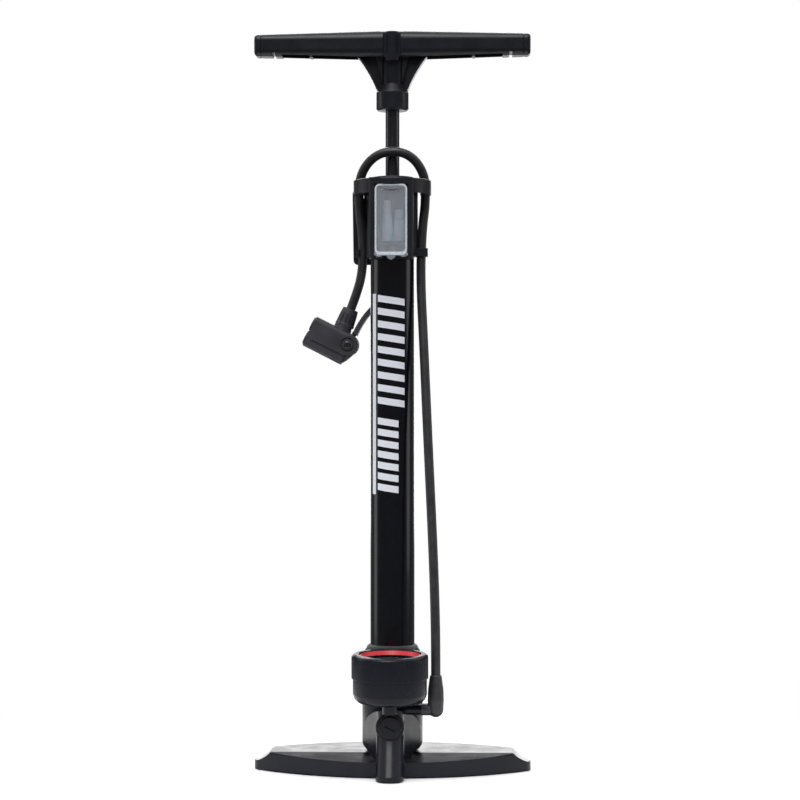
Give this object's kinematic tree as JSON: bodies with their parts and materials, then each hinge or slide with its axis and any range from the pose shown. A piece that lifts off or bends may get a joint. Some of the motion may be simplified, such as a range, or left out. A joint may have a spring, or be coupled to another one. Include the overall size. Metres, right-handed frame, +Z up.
{
  "type": "floor bike pump",
  "caption": "Upright floor pump for bicycle tyres with a T-handle, steel barrel, dial gauge, adapter box and a hose with a two-mouth lever chuck.",
  "frame": {"origin": "on the floor, on the axis of the barrel", "axes": "+Z up along the barrel, front with the gauge towards -Y, +X to the right seen from the front"},
  "size_m": [0.2388, 0.136, 0.6367],
  "materials": {
    "base_plastic": "fine moulded texture, semi-matt",
    "handle_plastic": "satin moulded grip",
    "holder_plastic": "satin moulding",
    "barrel_paint": "gloss black powder coat",
    "rod_steel": "black plated satin steel",
    "bright_steel": "zinc plated",
    "brass": "machined",
    "seal_rubber": "matt",
    "hose_rubber": "satin black rubber",
    "gauge_case": "satin moulding",
    "gauge_glass": "clear",
    "dial_print": "dark printed dial",
    "dial_red": "gloss red",
    "needle_paint": "white painted",
    "door_clear": "clear moulded plastic",
    "adapter_plastic": "translucent white",
    "chuck_plastic": "satin glass-filled moulding",
    "piston_plastic": "natural moulding"
  },
  "bodies": {
    "root": {"base": "base_plastic", "foot_pads": "seal_rubber", "valve_plug": "base_plastic", "plug_seal": "seal_rubber", "valve_spring": "bright_steel", "gauge_can": "gauge_case", "gauge_bezel": "gauge_case", "gauge_lens": "gauge_glass", "gauge_dial": "dial_print", "dial_ring": "dial_red", "bourdon_tube": "brass", "gauge_movement": "brass", "gauge_stem": "brass", "barrel": "barrel_paint", "barrel_seal": "seal_rubber", "barrel_cap": "holder_plastic", "rod_bush": "piston_plastic", "hose": "hose_rubber", "outlet_elbow": "hose_rubber", "holder": "holder_plastic", "holder_screws": "brass", "door_pin": "bright_steel", "cone_adapter": "adapter_plastic", "valve_adapter": "adapter_plastic", "chuck_body": "chuck_plastic", "neck_nut": "chuck_plastic", "wide_mouth_cap": "chuck_plastic", "narrow_mouth_cap": "chuck_plastic", "wide_gasket": "seal_rubber", "narrow_gasket": "seal_rubber", "lever_pin": "bright_steel"},
    "piston": {"piston": "piston_plastic", "piston_seal": "seal_rubber"},
    "handle": {"piston_rod": "rod_steel", "rod_clip": "bright_steel", "rod_bumper": "seal_rubber", "handle": "handle_plastic", "rod_nut": "bright_steel", "nut_washer": "bright_steel", "hub_cap": "handle_plastic"},
    "needle": {"gauge_needle": "needle_paint"},
    "door": {"adapter_door": "door_clear"},
    "lever": {"chuck_lever": "chuck_plastic"},
    "plunger": {"chuck_plunger": "piston_plastic"},
    "check_valve": {"check_disc": "seal_rubber"}
  },
  "joints": [
    {"name": "pump_stroke", "type": "slide", "parent": "root", "child": "piston", "axis": [0, 0, 1], "range_m": [0, 0.42]},
    {"name": "handle_spin", "type": "hinge", "parent": "piston", "child": "handle", "pos_m": [0, 0, 0.5], "axis": [0, 0, 1], "continuous": true},
    {"name": "needle_turn", "type": "hinge", "parent": "root", "child": "needle", "pos_m": [0, -0.0565, 0.065], "axis": [0, -0.0349, 0.9994], "range_deg": [-270, 0], "stiffness_Nm_per_rad": 0.0005},
    {"name": "door_hinge", "type": "hinge", "parent": "root", "child": "door", "pos_m": [0, -0.03, 0.443], "axis": [1, 0, 0], "range_deg": [0, 100]},
    {"name": "lever_turn", "type": "hinge", "parent": "root", "child": "lever", "pos_m": [-0.04, 0.0265, 0.367], "axis": [0, 1, 0], "range_deg": [0, 90]},
    {"name": "plunger_push", "type": "slide", "parent": "root", "child": "plunger", "axis": [-0.891, 0, 0.454], "range_m": [0, 0.00201]},
    {"name": "check_lift", "type": "slide", "parent": "root", "child": "check_valve", "axis": [0, -1, 0], "range_m": [0, 0.0015], "stiffness_N_per_m": 100, "springref_m": -0.002, "deforming": ["valve_spring"]}
  ],
  "couplings": [
    {"joint": "plunger_push", "follows": "lever_turn", "m_per_rad": 0.0012732}
  ]
}
